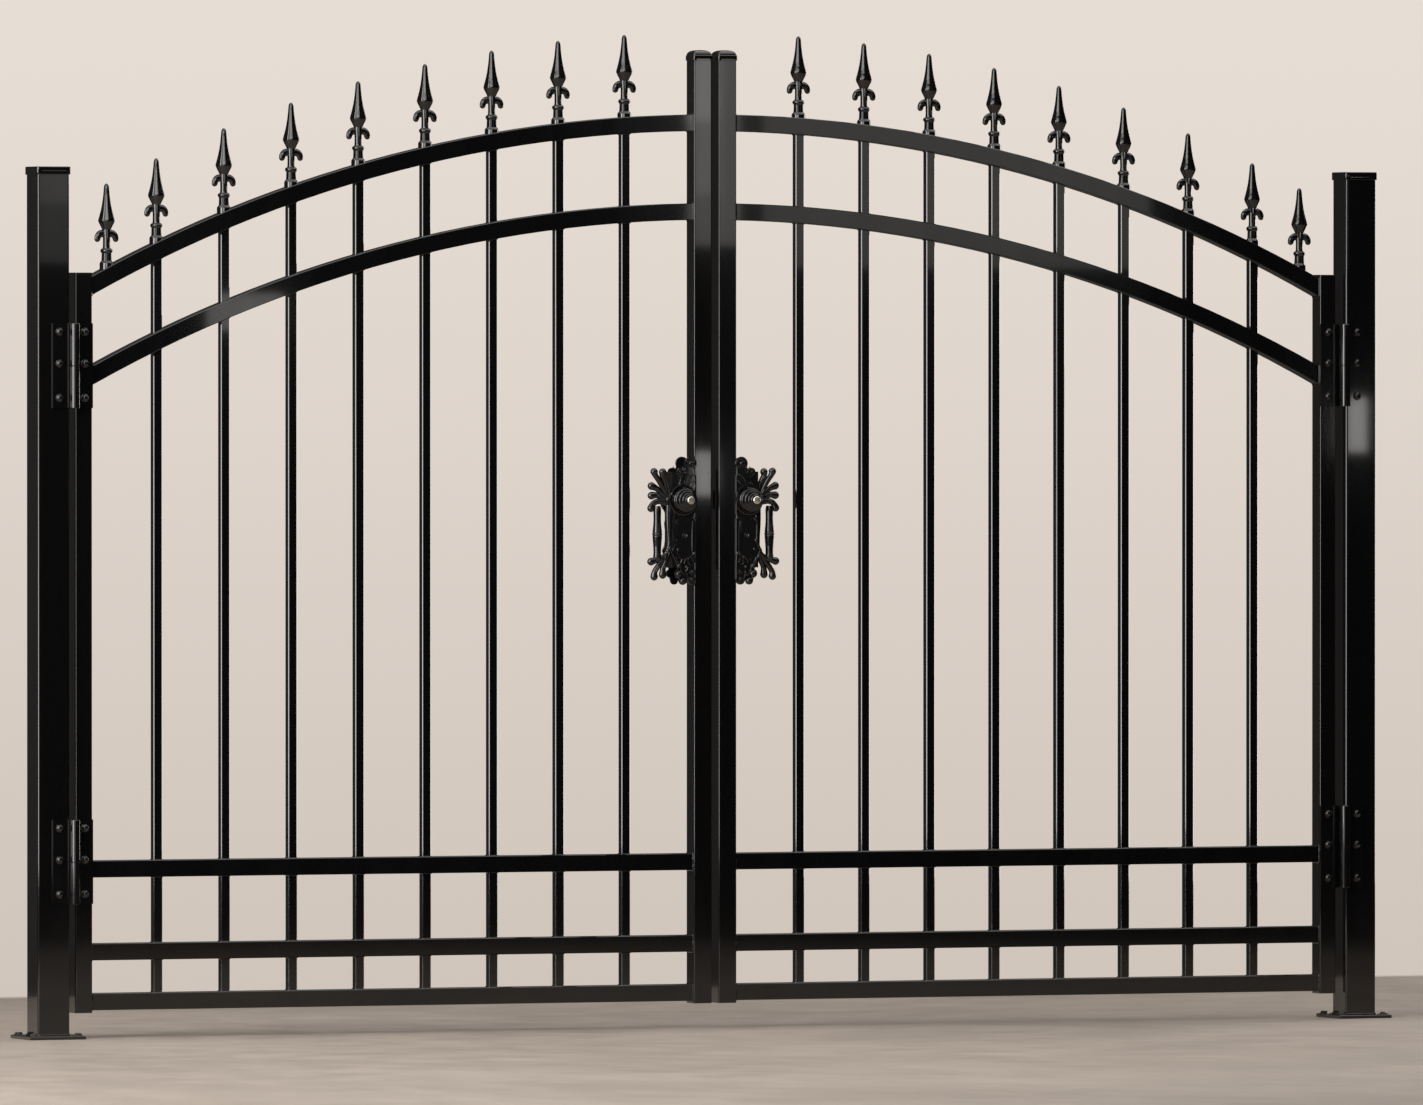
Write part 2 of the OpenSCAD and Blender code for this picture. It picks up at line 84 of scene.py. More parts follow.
# ---- Floor ----
# A pale, hand-trowelled concrete floor with soft stains. It ends a short way behind the gate
# and fades out all round.
class Wire:
    """One output of a shader node. Arithmetic on it adds Math nodes."""

    def __init__(self, tree, socket=None):
        self.tree, self.socket = tree, socket

    def node(self, kind, settings=None, sockets=None, out=0):
        """Adds a node: its settings first, then the values or links of its sockets."""
        made = self.tree.nodes.new(kind)
        for name, value in (settings or {}).items():
            setattr(made, name, value)
        for name, value in (sockets or {}).items():
            if isinstance(value, Wire):
                self.tree.links.new(value.socket, made.inputs[name])
            else:
                made.inputs[name].default_value = value
        return Wire(self.tree, made.outputs[out])

    def maths(self, operation, first, second):
        return self.node("ShaderNodeMath", {"operation": operation}, {0: first, 1: second})

    def __add__(self, other):
        return self.maths("ADD", self, other)

    def __sub__(self, other):
        return self.maths("SUBTRACT", self, other)

    def __rsub__(self, other):
        return self.maths("SUBTRACT", other, self)

    def __mul__(self, other):
        return self.maths("MULTIPLY", self, other)

    __radd__ = __add__
    __rmul__ = __mul__

    def rise(self, low, high):
        """0 below low, 1 above high, and smooth between them."""
        return self.node("ShaderNodeMapRange", {"interpolation_type": "SMOOTHSTEP"},
                         {"Value": self, "From Min": low, "From Max": high})

    def blend(self, colour_at_0, colour_at_1):
        """A colour between two, with this value as the factor."""
        return self.node("ShaderNodeMix", {"data_type": "RGBA"},
                         {0: self, 6: colour_at_0, 7: colour_at_1}, out=2)

    def stretch(self, scale):
        """This vector, scaled along each axis."""
        return self.node("ShaderNodeMapping", None, {"Vector": self, "Scale": scale})

    def noise(self, scale, detail=3.0, roughness=0.5):
        """Noise whose position is this vector."""
        return self.node("ShaderNodeTexNoise", None,
                         {"Vector": self, "Scale": scale, "Detail": detail, "Roughness": roughness})

    def axis(self, number):
        """The x, y or z of this vector, as 0, 1 or 2."""
        return self.node("ShaderNodeSeparateXYZ", None, {0: self}, out=number)

    def into(self, shader, socket):
        """Links this value to a socket of a shader."""
        self.tree.links.new(self.socket, shader.inputs[socket])

    def raised(self, shader, strength, distance):
        """Links this height to a shader as relief."""
        settings = {"Height": self, "Strength": strength, "Distance": distance}
        self.node("ShaderNodeBump", None, settings).into(shader, "Normal")


def new_material(name):
    """A material, its object coordinates and its shader."""
    made = bpy.data.materials.new(name)
    made.use_nodes = True
    tree = made.node_tree
    return made, Wire(tree).node("ShaderNodeTexCoord", out=3), tree.nodes["Principled BSDF"]


floor_pale, floor_dark = (0.450, 0.388, 0.338, 1), (0.325, 0.277, 0.238, 1)
floor_radius, floor_whole, floor_gone = 7.0, 4.9, 6.7
floor_back_edge, floor_back_fade, floor_drop = 2.3, 0.2, 0.0004
patch_scale, mottle_scale, grit_scale = 0.9, 7.0, 60.0
concrete, spot, floor_shader = new_material("concrete")
patches = spot.noise(patch_scale, 5.0, 0.6)
mottle = spot.noise(mottle_scale, 6.0, 0.62)
stain = (patches * 0.6 + mottle * 0.4).rise(0.32, 0.68)
stain.blend(floor_dark, floor_pale).into(floor_shader, "Base Color")
(0.5 + mottle * 0.25).into(floor_shader, "Roughness")
spot.noise(grit_scale, 4.0).raised(floor_shader, 0.12, 0.002)
far_side = spot.axis(1).rise(floor_back_edge, floor_back_edge + floor_back_fade)
along, across = spot.axis(0) - gate_middle.x, spot.axis(1)
near_rim = (along * along + across * across).rise(floor_whole ** 2, floor_gone ** 2)
gone = far_side + near_rim
solid_floor = Wire(gone.tree, floor_shader.outputs[0])
clear = gone.node("ShaderNodeBsdfTransparent")
fade = gone.node("ShaderNodeMixShader", None, {0: gone, 1: solid_floor, 2: clear})
fade.into(gone.tree.nodes["Material Output"], "Surface")
floor_mesh = bmesh.new()
bmesh.ops.create_circle(floor_mesh, cap_ends=True, segments=96, radius=floor_radius)
floor_data = bpy.data.meshes.new("floor")
floor_mesh.to_mesh(floor_data)
floor_mesh.free()
floor_data.materials.append(concrete)
floor = bpy.data.objects.new("floor", floor_data)
floor_data.transform(Matrix.Translation((gate_middle.x, 0, -floor_drop)))
scene.collection.objects.link(floor)

# ---- Studio ----
# A pale backdrop, and soft lights for the gloss paint to reflect: boxes overhead, high in front
# and at the left, a strip at each side, and a row of small cards in front for the flat faces.
backdrop_low, backdrop_high = (0.612, 0.540, 0.480, 1), (0.800, 0.728, 0.664, 1)
studio_front, studio_rear = (0.010, 0.010, 0.011, 1), (0.050, 0.047, 0.043, 1)
world = bpy.data.worlds.new("studio")
scene.world = world
world.use_nodes = True
sky = Wire(world.node_tree)
facing = sky.node("ShaderNodeTexCoord", out=0)
seen = facing.axis(2).rise(-0.055, 0.03).blend(backdrop_low, backdrop_high)
around = facing.axis(1).rise(-0.25, 0.45).blend(studio_front, studio_rear)
is_camera = sky.node("ShaderNodeLightPath", out=0)
is_camera.blend(around, seen).into(world.node_tree.nodes["Background"], "Color")


def soft_box(name, middle, width, height, radiance, aim):
    """A warm rectangular light of even brightness that the camera doesn't see. It faces aim."""
    data = bpy.data.lights.new(name, "AREA")
    data.shape = "RECTANGLE"
    data.size, data.size_y = width, height
    data.energy = radiance * math.pi * width * height
    data.color = (1.0, 0.97, 0.94)
    box = bpy.data.objects.new(name, data)
    box.location = middle
    away = Vector(middle) - Vector(aim)
    box.rotation_euler = away.to_track_quat("Z", "Y").to_euler()
    box.visible_camera = False
    scene.collection.objects.link(box)


soft_box("overhead", (1.7, -0.4, 5.4), 10.0, 6.0, 1.6, (1.7, -0.4, 0))
soft_box("key_box", (-1.8, -6.1, 5.0), 3.0, 3.0, 3.0, (1.7, 0, 1.8))
soft_box("left_box", (-3.4, -4.0, 2.9), 6.2, 5.6, 1.7, (1.7, 0, 1.4))
soft_box("left_strip", (-4.8, -2.6, 2.9), 2.2, 5.5, 8.0, (1.7, 0, 1.4))
soft_box("right_strip", (8.2, 2.6, 2.6), 2.2, 5.0, 4.5, (1.7, 0, 1.4))
cards_y = -5.0
front_cards = [  # name, x, z, width, height, radiance
    ("stile_card_top", 3.668, 2.58, 0.090, 0.66, 3.0),
    ("stile_card_mid", 3.668, 2.48, 0.090, 0.86, 1.8),
    ("stile_card_low", 3.700, 2.41, 0.155, 1.00, 1.2),
    ("lock_card", 3.668, 1.29, 0.060, 0.12, 4.5),
    ("arch_card", 4.42, 2.30, 1.15, 0.90, 0.7),
    ("arch_glint", 2.34, 1.73, 0.22, 0.10, 2.0),
    ("post_card", 1.79, 2.20, 0.13, 0.36, 0.9),
    ("post_card_low", 1.79, 2.12, 0.13, 0.52, 0.5),
    ("hinge_card", 5.60, 1.42, 0.06, 0.15, 5.0)]
for name, x, z, width, height, radiance in front_cards:
    soft_box(name, (x, cards_y, z), width, height, radiance, (x, 0, z))

# ---- Posts ----
# Two 80 mm square steel tubes with rounded corners, cleaned, primed and sprayed gloss black.
# Each is welded all round to its base plate and closed by a cap.
dusty_height = (0.01, 0.20)
dust_colour = (0.030, 0.027, 0.023, 1)


def gloss_black(name, peel=0.03, sheen=(0.07, 0.14), dust=0.30, cast=0.0, body=0.0026):
    """Gloss black coating: orange peel, uneven gloss, pale dust on what lies low, and a coarser
    skin on castings."""
    made, place, shader = new_material(name)
    height = place.axis(2)
    cloud = place.noise(2.6, 5.0, 0.6)
    smear = place.stretch((9.0, 9.0, 1.2)).noise(1.6, 4.0)
    speck = place.noise(420.0, 2.0)
    settled = (1 - height.rise(*dusty_height)) * cloud.rise(0.40, 0.68) * dust
    settled = settled + speck.rise(0.66, 0.80) * 0.03
    settled.blend((body, body, body * 1.06, 1), dust_colour).into(shader, "Base Color")
    low, high = sheen
    (low + smear.rise(0.30, 0.70) * (high - low) + speck * 0.02).into(shader, "Roughness")
    peel_height = place.noise(70.0, 2.0) * (1 - cast) + place.noise(620.0, 5.0, 0.7) * cast
    (peel_height + cloud * 0.4).raised(shader, peel, 0.0006)
    shader.inputs["IOR"].default_value = 1.45
    shader.inputs["Specular IOR Level"].default_value = 0.28
    shader.inputs["Coat Roughness"].default_value = 0.035
    (1 - settled * 0.8).into(shader, "Coat Weight")
    return made


def repaint(paint, *nodes):
    """Gives CAD nodes this finish."""
    for node in nodes:
        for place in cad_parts[node].material_slots:
            place.material = paint


post_paint = gloss_black("post_paint")
repaint(post_paint, "left_post", "right_post")

# ---- Base plates ----
# Thick square plates with a hole near each corner, held down by hexagon-headed anchor bolts
# on washers. A weld bead runs round the foot of the post.
mm = 0.001
repaint(gloss_black("plate_paint", dust=0.9), "left_base_plate", "right_base_plate")


def skin(mesh, rings, closed=False):
    """Joins a row of rings of points: into a tube with flat ends, or end to end if closed."""
    loops = [[mesh.verts.new(point) for point in ring] for ring in rings]
    pairs = list(zip(loops, loops[1:])) + ([(loops[-1], loops[0])] if closed else [])
    for near, far in pairs:
        for k in range(len(near)):
            n = (k + 1) % len(near)
            mesh.faces.new((near[k], near[n], far[n], far[k]))
    if not closed:
        mesh.faces.new(loops[0][::-1])
        mesh.faces.new(loops[-1])


def turned(mesh, foot, axis, profile, sides=24, turn=0.0, dressed=0.0):
    """Turns a profile of (radius, height) about an axis through foot. The corners of a many-sided
    shape can be dressed flat, by an angle to each side."""
    along = Vector(axis).normalized()
    across = Vector((1, 0, 0)) if abs(along.z) > 0.9 else Vector((0, 0, 1))
    beside = along.cross(across)
    corners = [math.radians(turn) + math.tau * k / sides for k in range(sides)]
    angles = [a + math.radians(by) for a in corners for by in ((-dressed, dressed) if dressed else (0,))]
    skin(mesh, [[Vector(foot) + along * height + (across * math.cos(a) + beside * math.sin(a)) * radius
                 for a in angles] for radius, height in profile])


def bead(mesh, path, up, radius, rng, sides=6):
    """A weld bead: a rippled closed tube along a loop of points that lies square to up."""
    rings = []
    for k, point in enumerate(path):
        along = (path[(k + 1) % len(path)] - path[k - 1]).normalized()
        beside = along.cross(up)
        r = radius * rng.uniform(0.86, 1.14)
        turns = [math.tau * s / sides for s in range(sides)]
        rings.append([point + beside * (r * math.cos(a)) + up * (r * math.sin(a)) for a in turns])
    skin(mesh, rings, closed=True)


def solid(name, mesh, paint, smooth=34, scale=1.0, mirrored=False):
    """Ends a mesh: scales it, mirrors it to the right half if asked, and smooths all but its sharp edges."""
    for vert in mesh.verts:
        vert.co *= scale
        if mirrored:
            vert.co.x = 2 * gate_middle.x - vert.co.x
    bmesh.ops.recalc_face_normals(mesh, faces=mesh.faces)
    data = bpy.data.meshes.new(name)
    mesh.to_mesh(data)
    mesh.free()
    data.polygons.foreach_set("use_smooth", [True] * len(data.polygons))
    data.set_sharp_from_angle(angle=math.radians(smooth))
    data.materials.append(paint)
    made = bpy.data.objects.new(name, data)
    scene.collection.objects.link(made)
    return made


def rounded_loop(half_a, half_b, corner, step=None, corner_points=4, pieces=10):
    """Points (a, b) round a rectangle with rounded corners. Each side is cut in pieces, or in
    steps about as long as step."""
    points = []
    for quarter, (sa, sb) in enumerate(((1, 1), (-1, 1), (-1, -1), (1, -1))):
        for k in range(corner_points):
            angle = math.radians(90 * quarter + 90 / (corner_points - 1) * k)
            points.append((sa * (half_a - corner) + corner * math.cos(angle),
                           sb * (half_b - corner) + corner * math.sin(angle)))
        side = 2 * ((half_a if quarter % 2 == 0 else half_b) - corner)
        cuts = max(1, round(side / step)) if step else pieces
        start = points[-1]
        toward = ((-1, 0), (0, -1), (1, 0), (0, 1))[quarter]
        points += [(start[0] + toward[0] * side * k / cuts, start[1] + toward[1] * side * k / cuts)
                   for k in range(1, cuts)]
    return points


plate_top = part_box("left_base_plate")[1].z / mm
anchor_at, anchor_shank_r, anchor_head_af, anchor_head_h = 55, 6.2, 16, 4.5
washer_r, washer_t = 11, 1.6
post_half, post_weld_r = 40, 3.4
washer = [(washer_r - 0.4, 0), (washer_r, 0.5), (washer_r, washer_t - 0.5), (washer_r - 0.5, washer_t)]
head_r, head_top = anchor_head_af / math.sqrt(3), washer_t + anchor_head_h
head = [(head_r, washer_t), (head_r, head_top - 1.2), (head_r - 1.3, head_top)]
head_crown = [(anchor_head_af / 2 - 1, head_top - 0.4), (anchor_head_af / 2 - 2.2, head_top + 0.5)]
shank = [(anchor_shank_r, 0.2 - plate_top), (anchor_shank_r, 1)]
weld_paint = gloss_black("weld_paint", peel=0.16, sheen=(0.12, 0.2), dust=0.7, cast=0.4)
bolt_paint = gloss_black("bolt_paint", peel=0.10, sheen=(0.10, 0.18), dust=0.8)
for side in ("left", "right"):
    rng = random.Random(11 if side == "left" else 12)
    anchors = bmesh.new()
    for sx in (-1, 1):
        for sy in (-1, 1):
            foot = (sx * anchor_at, sy * anchor_at, plate_top)
            turned(anchors, foot, (0, 0, 1), washer, 32)
            turned(anchors, foot, (0, 0, 1), head, 6, rng.uniform(0, 60))
            turned(anchors, foot, (0, 0, 1), head_crown, 24)
            turned(anchors, foot, (0, 0, 1), shank, 16)
    anchors = solid(side + "_anchor_bolts", anchors, bolt_paint, scale=mm, mirrored=side == "right")
    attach(anchors, "posts")
    weld = bmesh.new()
    loop = [Vector((a, b, plate_top + 0.6)) for a, b in rounded_loop(post_half + 1, post_half + 1, 6, 5)]
    bead(weld, loop, Vector((0, 0, 1)), post_weld_r, rng, 8)
    weld = solid(side + "_post_weld", weld, weld_paint, 60, mm, side == "right")
    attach(weld, "posts")

# ---- Post caps ----
# A pressed steel lid with a short skirt closes each post. Its edges are rounded by the press.
# It is tacked on and sprayed with the post.


def stacked(mesh, x, z, rows, corner):
    """Skins rounded rectangles of (half width, half depth, height) about x, standing on z."""
    rings = []
    for half_w, half_d, height in rows:
        outline = rounded_loop(half_w, half_d, min(corner, 0.45 * half_w), corner_points=5)
        rings.append([Vector((x + a, b, z + height)) for a, b in outline])
    skin(mesh, rings)


lid_edge, lid_corner = 1.1, 6.0
for side in ("left", "right"):
    lid_low, lid_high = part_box(side + "_post_cap")
    half_w, half_d = (lid_high.x - lid_low.x) / 2 / mm, (lid_high.y - lid_low.y) / 2 / mm
    lid_t = (lid_high.z - lid_low.z) / mm
    edges = ((1, 0), (0.3, lid_edge * 0.3), (0, lid_edge), (0, lid_t - lid_edge * 1.6),
             (0.5, lid_t - lid_edge * 0.5), (1.6, lid_t))
    lid = bmesh.new()
    stacked(lid, (lid_low.x + lid_high.x) / 2 / mm, lid_low.z / mm,
            [(half_w - lid_edge * inwards, half_d - lid_edge * inwards, height) for inwards, height in edges],
            lid_corner)
    lid = solid(side + "_pressed_lid", lid, post_paint, 50, mm)
    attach(lid, "posts")
    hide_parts(side + "_post_cap")

# ---- Leaf frames ----
# Stiles, straight rails and arched rails are steel tube. Each rail butts on the stiles and has
# a weld bead round its end. The whole leaf is primed and sprayed gloss black in one go.
frame_paint = gloss_black("frame_paint")
for side in ("left", "right"):
    repaint(frame_paint, side + "_hinge_stile", side + "_meeting_stile",
            side + "_upper_arch_rail", side + "_lower_arch_rail",
            side + "_middle_rail", side + "_lower_rail", side + "_bottom_rail")

stile_inner_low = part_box("left_hinge_stile")[1].x / mm
stile_inner_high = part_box("left_meeting_stile")[0].x / mm
rail_half_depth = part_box("left_bottom_rail")[1].y / mm
arch_rise, rail_height = 391, 40
middle = gate_middle.x / mm
arch_span = middle - stile_inner_low
arch_radius = (arch_span ** 2 + arch_rise ** 2) / (2 * arch_rise)
upper_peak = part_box("left_upper_arch_rail")[1].z / mm
lower_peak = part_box("left_lower_arch_rail")[1].z / mm


def arch_height(peak, x, inside=0):
    """Height of an arch at x: of its outer face, or of the face that lies that far inside it."""
    r = arch_radius - inside
    return peak - arch_radius + math.sqrt(r ** 2 - (x - middle) ** 2)


frame_weld_r = 2.2
straight_rails = [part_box("left_" + rail) for rail in ("bottom_rail", "lower_rail", "middle_rail")]
straight_rails = [(low.z / mm, high.z / mm) for low, high in straight_rails]
for side in ("left", "right"):
    rng = random.Random(21 if side == "left" else 22)
    weld = bmesh.new()
    for x in (stile_inner_low + 0.4, stile_inner_high - 0.4):
        ends = straight_rails + [(arch_height(peak, x, rail_height), arch_height(peak, x))
                                 for peak in (upper_peak, lower_peak)]
        for low, high in ends:
            loop = [Vector((x, a, (low + high) / 2 + b))
                    for a, b in rounded_loop(rail_half_depth + 0.4, (high - low) / 2 + 0.4, 2, 4)]
            bead(weld, loop, Vector((1, 0, 0)), frame_weld_r, rng)
    weld = solid(side + "_frame_welds", weld, weld_paint, 60, mm, side == "right")
    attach(weld, side + "_leaf")

# ---- Stile caps ----
# Each meeting stile is closed by a cast cap: a plain skirt under a low cushion of a top.
# The hinge stiles have thin flat plates. All are welded on and sprayed with the leaf.
cap_half_w, cap_half_d, cap_corner = 25, 27, 4.0
skirt_h, cushion_h, cushion_inset = 13.4, 11.6, 1.6
lid_half_w, lid_half_d, flat_lid_t, flat_lid_corner = 21.5, 25.5, 4.0, 3.4
cap_paint = gloss_black("cap_paint", peel=0.08, cast=0.15)
stile_low, stile_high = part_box("left_meeting_stile")
flat_low, flat_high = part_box("left_hinge_stile")
meeting_x, meeting_top = (stile_low.x + stile_high.x) / 2 / mm, stile_high.z / mm
hinge_x, hinge_top = (flat_low.x + flat_high.x) / 2 / mm, flat_high.z / mm
skirt = [(cap_half_w - inwards, cap_half_d - inwards, height)
         for inwards, height in ((0.6, 0), (0, 0.7), (0, skirt_h - 2.6), (0.5, skirt_h - 1.0),
                                 (cushion_inset, skirt_h))]
crown = [(max(0.05, math.cos(math.radians(a))) ** 0.62, math.sin(math.radians(a))) for a in range(9, 91, 9)]
cushion = [((cap_half_w - cushion_inset) * spread, (cap_half_d - cushion_inset) * spread,
            skirt_h + cushion_h * lift) for spread, lift in crown]
flat_lid = [(lid_half_w - inwards, lid_half_d - inwards, height)
            for inwards, height in ((0.5, 0), (0, 0.5), (0, flat_lid_t - 1.0), (0.8, flat_lid_t))]
for side in ("left", "right"):
    caps = bmesh.new()
    stacked(caps, meeting_x, meeting_top, skirt + cushion, cap_corner)
    stacked(caps, hinge_x, hinge_top, flat_lid, flat_lid_corner)
    caps = solid(side + "_cast_stile_caps", caps, cap_paint, 40, mm, side == "right")
    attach(caps, side + "_leaf")
    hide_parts(side + "_stile_caps")

# ---- Pickets ----
# Square bars that pass through punched holes in every rail, each tacked with a small bead
# above and below the rail. Their tops are cut flush with the upper arch.
repaint(frame_paint, "left_pickets", "right_pickets")
picket_w, picket_count, picket_weld_r = 22, 8, 1.7
picket_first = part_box("left_pickets")[0].x / mm + picket_w / 2
picket_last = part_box("left_pickets")[1].x / mm - picket_w / 2
picket_pitch = (picket_last - picket_first) / (picket_count - 1)
picket_xs = [picket_first + k * picket_pitch for k in range(picket_count)]
for side in ("left", "right"):
    rng = random.Random(31 if side == "left" else 32)
    weld = bmesh.new()
    for x in picket_xs:
        outline = rounded_loop(picket_w / 2 + 0.5, picket_w / 2 + 0.5, 1.5, 4)
        for low, high in straight_rails:
            for z in (low, high)[low == straight_rails[0][0]:]:
                loop = [Vector((x + a, b, z)) for a, b in outline]
                bead(weld, loop, Vector((0, 0, 1)), picket_weld_r, rng)
        for peak, inside in ((upper_peak, rail_height), (lower_peak, rail_height), (lower_peak, 0)):
            loop = [Vector((x + a, b, arch_height(peak, x + a, inside))) for a, b in outline]
            bead(weld, loop, Vector((0, 0, 1)), picket_weld_r, rng)
    weld = solid(side + "_picket_welds", weld, weld_paint, 60, mm, side == "right")
    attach(weld, side + "_leaf")

# ---- Finials ----
# Cast iron spears in one piece: a round foot, an eight-sided socket, a collar, a slim stem with
# two stout curls and two leaves, and an eight-sided blade. Each is welded on the upper arch.


def smooth_line(points, steps=5):
    """Rows of numbers along a smooth line through rows of numbers."""
    last, line = len(points) - 1, []
    for k in range(last):
        near = [points[min(max(k + j, 0), last)] for j in (-1, 0, 1, 2)]
        for s in range(steps):
            t = s / steps
            line.append(tuple(0.5 * (2 * b + (c - a) * t + (2 * a - 5 * b + 4 * c - d) * t ** 2
                                     + (3 * b - a - 3 * c + d) * t ** 3)
                              for a, b, c, d in zip(*near)))
    return line + [tuple(points[-1])]


round_end = ((0.0, 1.0), (0.38, 0.92), (0.72, 0.69), (0.93, 0.36), (0.99, 0.10))


def scroll(mesh, line, depth=0.0, sides=12):
    """A cast rib or scroll with round ends: an oval swept along rows of
    (x, z, half width, half thickness)."""
    rings, last = [], len(line) - 1
    turns = [math.tau * s / sides for s in range(sides)]
    for k, (x, z, wide, thick) in enumerate(line):
        before, after = line[max(k - 1, 0)], line[min(k + 1, last)]
        along = Vector((after[0] - before[0], 0, after[1] - before[1])).normalized()
        across = Vector((-along.z, 0, along.x))
        stations = [(0.0, 1.0)]
        if k == 0:
            stations = [(-forward, scale) for forward, scale in reversed(round_end)]
        elif k == last:
            stations = round_end
        for forward, scale in stations:
            centre = Vector((x, depth, z)) + along * (forward * wide)
            rings.append([centre + across * (wide * scale * math.cos(a))
                          + Vector((0, thick * scale * math.sin(a), 0)) for a in turns])
    skin(mesh, rings)


cast_paint = gloss_black("cast_paint", peel=0.10, sheen=(0.10, 0.18), dust=0.0, cast=0.3)
end_finial_inset = 45
foot_r = 16.5
finial_base = [(foot_r - 0.6, 9.5), (foot_r - 1.6, 11.2), (13.4, 12.6), (12.4, 14.2)]
finial_socket, socket_dressed = [(12.6, 13), (12.1, 24), (11.8, 34)], 4
finial_collar = [(11.2, 31), (12.6, 33.6), (14.0, 35.6), (14.7, 38), (14.2, 40.2), (12.4, 42.2), (9.8, 43.6)]
finial_stem = smooth_line([(9.6, 43), (8.7, 47), (8.4, 58), (8.8, 72), (10.2, 84), (11.2, 92)], 3)
finial_blade = [(10.9, 88), (14.2, 95), (18.0, 102), (20.2, 107.4), (20.6, 109), (19.6, 113.5),
                (17.4, 121), (14.2, 133), (11.4, 146), (9.2, 160), (7.6, 174), (6.7, 184), (6.3, 189),
                (5.3, 192.8), (3.4, 195.6), (0.9, 197)]
blade_dressed = 3.5
finial_curl = smooth_line([(4, 76, 7.6, 5.0), (11, 78.6, 8.8, 6.2), (17.5, 76.6, 8.6, 6.8),
                           (21.6, 71.4, 8.0, 6.8), (23.0, 65.8, 7.4, 6.2)], 5)
finial_leaf = smooth_line([(0, 93, 2.0, 2.0), (0, 87, 3.8, 3.4), (0, 78, 4.4, 3.8), (0, 66, 2.4, 2.4)], 4)
leaf_out = 8.0
for side in ("left", "right"):
    spears = bmesh.new()
    for x in [stile_inner_low + end_finial_inset] + picket_xs:
        seat = arch_height(upper_peak, x)
        drop = foot_r * (middle - x) / (seat - upper_peak + arch_radius) + 2
        foot = (x, 0, seat)
        turned(spears, foot, (0, 0, 1), [(foot_r, -drop), (foot_r, 8.4)] + finial_base, 32)
        turned(spears, foot, (0, 0, 1), finial_socket, 8, 0, socket_dressed)
        turned(spears, foot, (0, 0, 1), finial_collar, 32)
        turned(spears, foot, (0, 0, 1), finial_stem, 20)
        turned(spears, foot, (0, 0, 1), finial_blade, 8, 0, blade_dressed)
        for sign in (-1, 1):
            scroll(spears, [(x + sign * a, seat + b, w, t) for a, b, w, t in finial_curl])
            scroll(spears, [(x + a, seat + b, w, t) for a, b, w, t in finial_leaf], sign * leaf_out, 10)
    spears = solid(side + "_spear_finials", spears, cast_paint, 31, mm, side == "right")
    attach(spears, side + "_leaf")
    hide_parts(side + "_finials")

# ---- Hinges ----
# Lift-off butt hinges of steel plate with turned knuckles. Three dome-headed bolts on washers
# hold each plate, and the pin's rounded end shows at the top of the upper knuckle.
hinge_paint = gloss_black("hinge_paint", peel=0.07, sheen=(0.09, 0.17))
hinge_mids, hinge_half = (418, 1590), 100
hinge_bolt_drops = (80, 5, -76)
post_bolt_x, gate_bolt_x = 13, 82
hinge_plate_t = 5
post_plate_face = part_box("left_post")[0].y / mm - hinge_plate_t
gate_plate_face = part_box("left_hinge_stile")[0].y / mm - hinge_plate_t
hinge_axis = (48, -54)
dome_bolt = [(9.6, 0), (9.6, 1.1), (8.9, 1.5), (8.4, 1.6), (8.2, 3.0), (7.0, 5.0), (5.0, 6.4), (2.6, 7.1),
             (0.5, 7.3)]
pin_end = [(6.8, -1.0), (6.8, 0.8), (5.8, 2.0), (3.6, 2.8), (0.4, 3.1)]
for side in ("left", "right"):
    repaint(hinge_paint, side + "_post_hinge_leaves", side + "_gate_hinge_leaves")
    on_post, on_gate = bmesh.new(), bmesh.new()
    for mid in hinge_mids:
        for drop in hinge_bolt_drops:
            turned(on_post, (post_bolt_x, post_plate_face, mid + drop), (0, -1, 0), dome_bolt, 24)
            turned(on_gate, (gate_bolt_x, gate_plate_face, mid + drop), (0, -1, 0), dome_bolt, 24)
        turned(on_post, hinge_axis + (mid + hinge_half - 2,), (0, 0, 1), pin_end, 24)
    on_post = solid(side + "_post_hinge_bolts", on_post, hinge_paint, 50, mm, side == "right")
    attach(on_post, "posts")
    on_gate = solid(side + "_gate_hinge_bolts", on_gate, hinge_paint, 50, mm, side == "right")
    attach(on_gate, side + "_leaf")

# ---- Lock plates ----
# Iron castings on both faces of the lock case: a scrolled outline with a raised rim, a stepped
# rose round the knob, a plain panel with its keyhole boss, rivets, and small scrolls and leaves.
lock_paint = gloss_black("lock_paint", peel=0.03, sheen=(0.12, 0.22), dust=0.0, cast=0.1, body=0.005)
for side in ("left", "right"):
    repaint(lock_paint, side + "_lock_case")
knob_low, knob_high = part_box("left_knob")
knob_z = (knob_low.z + knob_high.z) / 2 / mm
knob_inset, plate_t = 30, 4
stile_face = -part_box("left_meeting_stile")[0].y / mm


def arc(x, z, r, start, end, step=12):
    """Points on an arc, by angles in degrees."""
    count = max(2, round(abs(end - start) / step))
    angles = [math.radians(start + (end - start) * k / count) for k in range(count + 1)]
    return [(x + r * math.cos(a), z + r * math.sin(a)) for a in angles]


